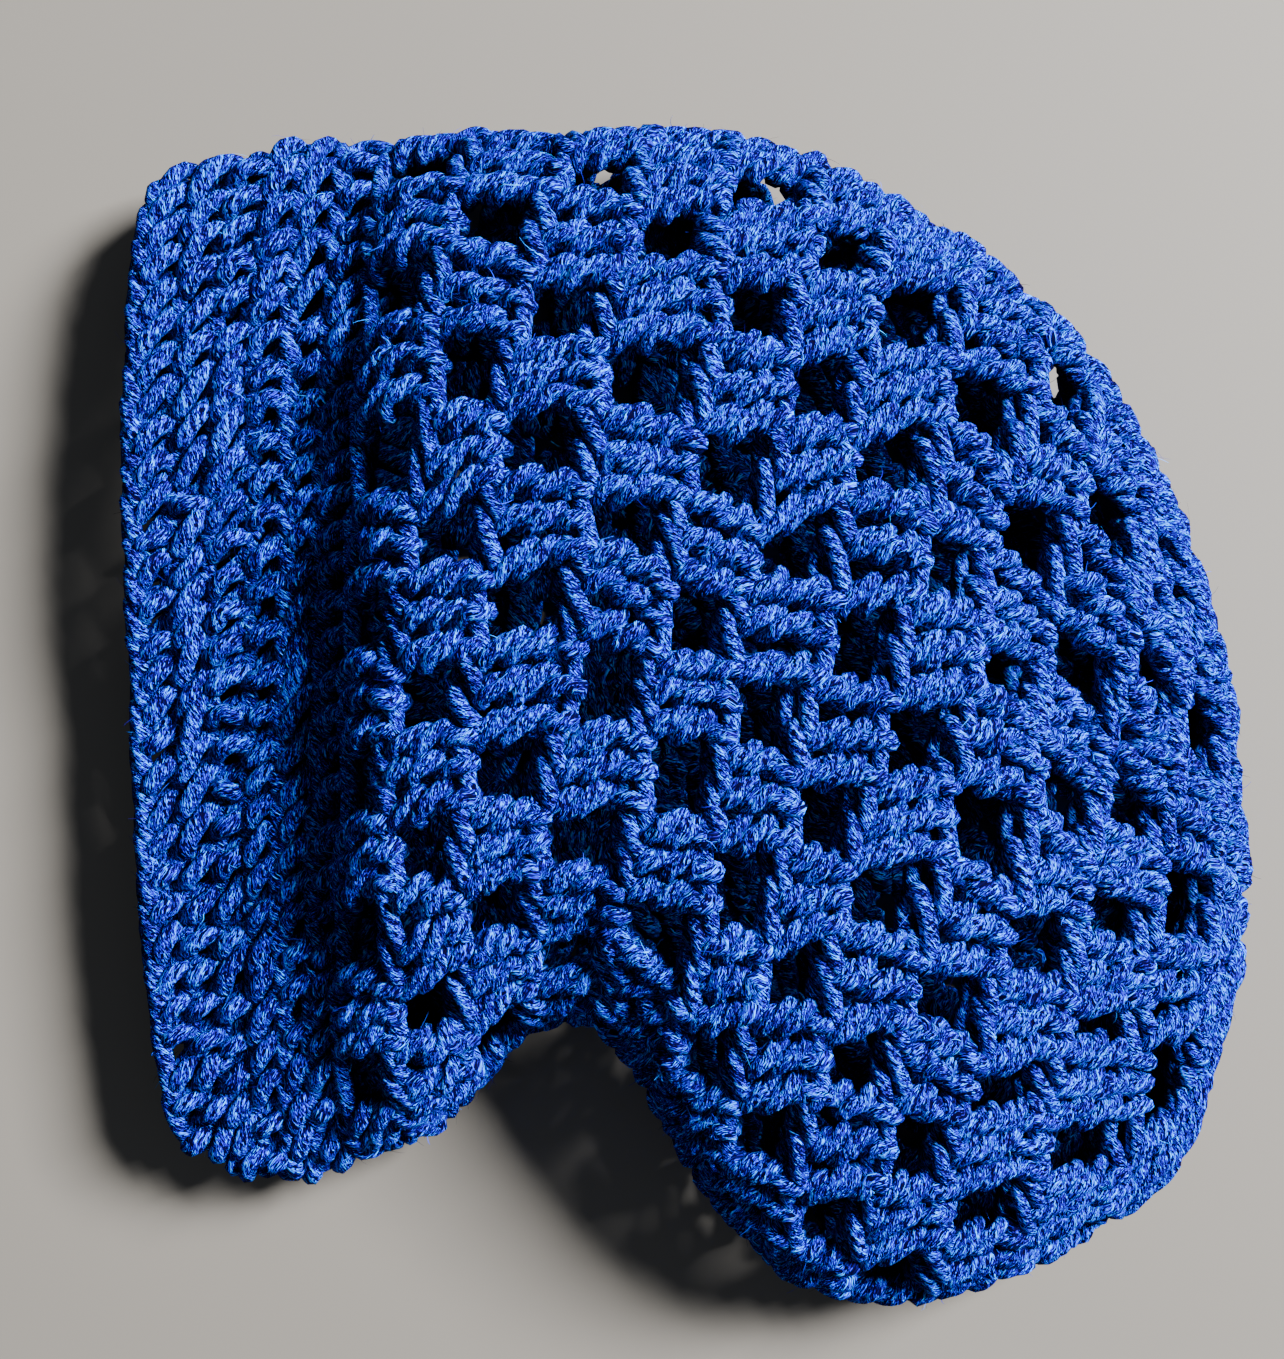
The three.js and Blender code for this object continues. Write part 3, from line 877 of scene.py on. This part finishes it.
def yarn_material(name):
    """A matt, fuzzy heather yarn: its flecks and plies come from the strand's own map.

    The flecks are noise on a cylinder: the map's turn, plus a twist that grows along the strand, is
    bent into a circle, so that there is no seam and the flecks are drawn out along the plies. The
    ridges of the plies go with the sine of the same turn; the ridges are painted lighter and the
    grooves darker, as painted shade. The colour is also painted darker where a point lies deep in
    the wall, as painted shade in the hollows of the net.
    """
    material = bpy.data.materials.new(name)
    make = Nodes(material)
    link = make.links.new
    uv = make.add("ShaderNodeUVMap", uv_map="yarn")
    split = make.add("ShaderNodeSeparateXYZ")
    link(uv.outputs["UV"], split.inputs[0])
    along = split.outputs["Y"]
    turns = make.math("ADD", split.outputs["X"], make.math("MULTIPLY", along, TWIST))
    angle = make.math("MULTIPLY", turns, 2 * np.pi)

    fleck = make.cylinder_noise(angle, along, FLECKS_ROUND, FLECKS_ALONG, FLECK_CURL)
    patch = make.cylinder_noise(angle, along, PATCHES_ROUND, PATCHES_ALONG)
    ply = make.math("ABSOLUTE", make.math("SINE", make.math("MULTIPLY", turns, PLIES * np.pi)))
    # Painted shade from the plies: their ridges lighten the colour and their grooves darken it.
    ridge = make.math("MULTIPLY", make.math("SUBTRACT", ply, PLY_MEAN), PLY_PAINTED_SHADE)
    tone = make.math("ADD", make.math("MULTIPLY", fleck, FLECK_SHARE),
                     make.math("MULTIPLY", patch, PATCH_SHARE))
    colour = make.ramp(make.math("ADD", tone, ridge), YARN_TONES)

    # Painted shade: the colour is darkened by how deep in the wall a point lies.
    height = make.add("ShaderNodeAttribute", attribute_name="height")
    painted_shade_factor = make.add("ShaderNodeMapRange", interpolation_type="SMOOTHSTEP")
    painted_shade_factor.inputs["From Min"].default_value = PAINTED_SHADE_DEEPEST_HEIGHT
    painted_shade_factor.inputs["From Max"].default_value = PAINTED_SHADE_CLEAR_HEIGHT
    painted_shade_factor.inputs["To Min"].default_value = PAINTED_SHADE_TONE
    painted_shade_factor.inputs["To Max"].default_value = 1.0
    link(height.outputs["Fac"], painted_shade_factor.inputs["Value"])
    shaded = make.add("ShaderNodeVectorMath", operation="SCALE")
    link(colour, shaded.inputs[0])
    link(painted_shade_factor.outputs[0], shaded.inputs["Scale"])

    bump = make.add("ShaderNodeBump")
    bump.inputs["Strength"].default_value = 1.0
    bump.inputs["Distance"].default_value = RELIEF_DEPTH
    relief = make.math("ADD", make.math("MULTIPLY", fleck, FLECK_RELIEF),
                       make.math("MULTIPLY", ply, PLY_RELIEF))
    link(relief, bump.inputs["Height"])

    shader = make.add("ShaderNodeBsdfPrincipled")
    link(shaded.outputs[0], shader.inputs["Base Color"])
    link(bump.outputs["Normal"], shader.inputs["Normal"])
    shader.inputs["Roughness"].default_value = 0.7
    shader.inputs["Specular IOR Level"].default_value = 0.01
    shader.inputs["Sheen Weight"].default_value = 0.05
    shader.inputs["Sheen Roughness"].default_value = 0.4
    shader.inputs["Sheen Tint"].default_value = (0.0, 0.1, 1.0, 1)
    output = make.add("ShaderNodeOutputMaterial")
    link(shader.outputs[0], output.inputs["Surface"])
    return material


# %% All the rounds of the hat
blue_yarn = yarn_material("blue_yarn")
rounds = [crown_round(number, blue_yarn) for number in range(1, CROWN_ROUNDS + 1)]
bands = [brim_round(number, blue_yarn) for number in range(1, BRIM_ROUNDS + 1)]
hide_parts("crown")
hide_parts("brim_band")
triangles = sum(len(piece.data.loops) - 2 * len(piece.data.polygons) for piece in rounds + bands)
print("yarn in", len(rounds + bands), "pieces,", triangles, "triangles in all")

# %% [markdown]
# ## The floor, the light and the camera
# The hat lies on a plain pale floor. A soft light comes from the upper right, as in the photograph,
# and leaves the hollows of the net dark, together with the shade painted into the yarn deep in the
# wall.
# A ring of lamps would light the hat more evenly, but the crown's ridge has to shade the band. The
# camera looks straight down.

# %% The floor
FLOOR_HALF = 2.2
FLOOR_COLOUR = (0.125, 0.115, 0.101, 1)
floor_mesh = bpy.data.meshes.new("floor")
floor_mesh.from_pydata(
    [(-FLOOR_HALF, -FLOOR_HALF, 0), (FLOOR_HALF, -FLOOR_HALF, 0),
     (FLOOR_HALF, FLOOR_HALF, 0), (-FLOOR_HALF, FLOOR_HALF, 0)],
    [], [(0, 1, 2, 3)])
floor = bpy.data.objects.new("floor", floor_mesh)
bpy.context.collection.objects.link(floor)
floor_material = bpy.data.materials.new("pale_floor")
floor_material.use_nodes = True
floor_shader = floor_material.node_tree.nodes["Principled BSDF"]
floor_shader.inputs["Base Color"].default_value = FLOOR_COLOUR
floor_shader.inputs["Roughness"].default_value = 0.7
floor_mesh.materials.append(floor_material)

# %% The light: a square lamp that faces the hat, and the light of the room
LAMP_PLACE = mathutils.Vector((2.09, 1.11, 1.85))
LAMP_AIM = mathutils.Vector((0.0, 0.0, 0.02))
LAMP_SIZE = 1.0
LAMP_POWER = 680.0
ROOM_COLOUR = (0.8, 0.88, 1.0, 1)
ROOM_STRENGTH = 0.17
lamp_data = bpy.data.lights.new("window", "AREA")
lamp_data.size = LAMP_SIZE
lamp_data.energy = LAMP_POWER
lamp = bpy.data.objects.new("window", lamp_data)
lamp.location = LAMP_PLACE
lamp.rotation_euler = (LAMP_AIM - LAMP_PLACE).to_track_quat("-Z", "Y").to_euler()
bpy.context.collection.objects.link(lamp)
room = bpy.data.worlds.new("room_air")
room.use_nodes = True
room.node_tree.nodes["Background"].inputs["Color"].default_value = ROOM_COLOUR
room.node_tree.nodes["Background"].inputs["Strength"].default_value = ROOM_STRENGTH
bpy.context.scene.world = room
print("the lamp is", round((LAMP_PLACE - LAMP_AIM).length, 2), "m from the hat")

# %% The camera
CAMERA_HEIGHT = 453 * MM
CAMERA_LENS = 50.0
NEAREST_SEEN = 0.01
camera_data = bpy.data.cameras.new("camera")
camera_data.lens = CAMERA_LENS
camera_data.clip_start = NEAREST_SEEN
camera = bpy.data.objects.new("camera", camera_data)
camera.location = (-MIDDLE[0] * MM, -MIDDLE[1] * MM, CAMERA_HEIGHT)
bpy.context.collection.objects.link(camera)
bpy.context.scene.camera = camera
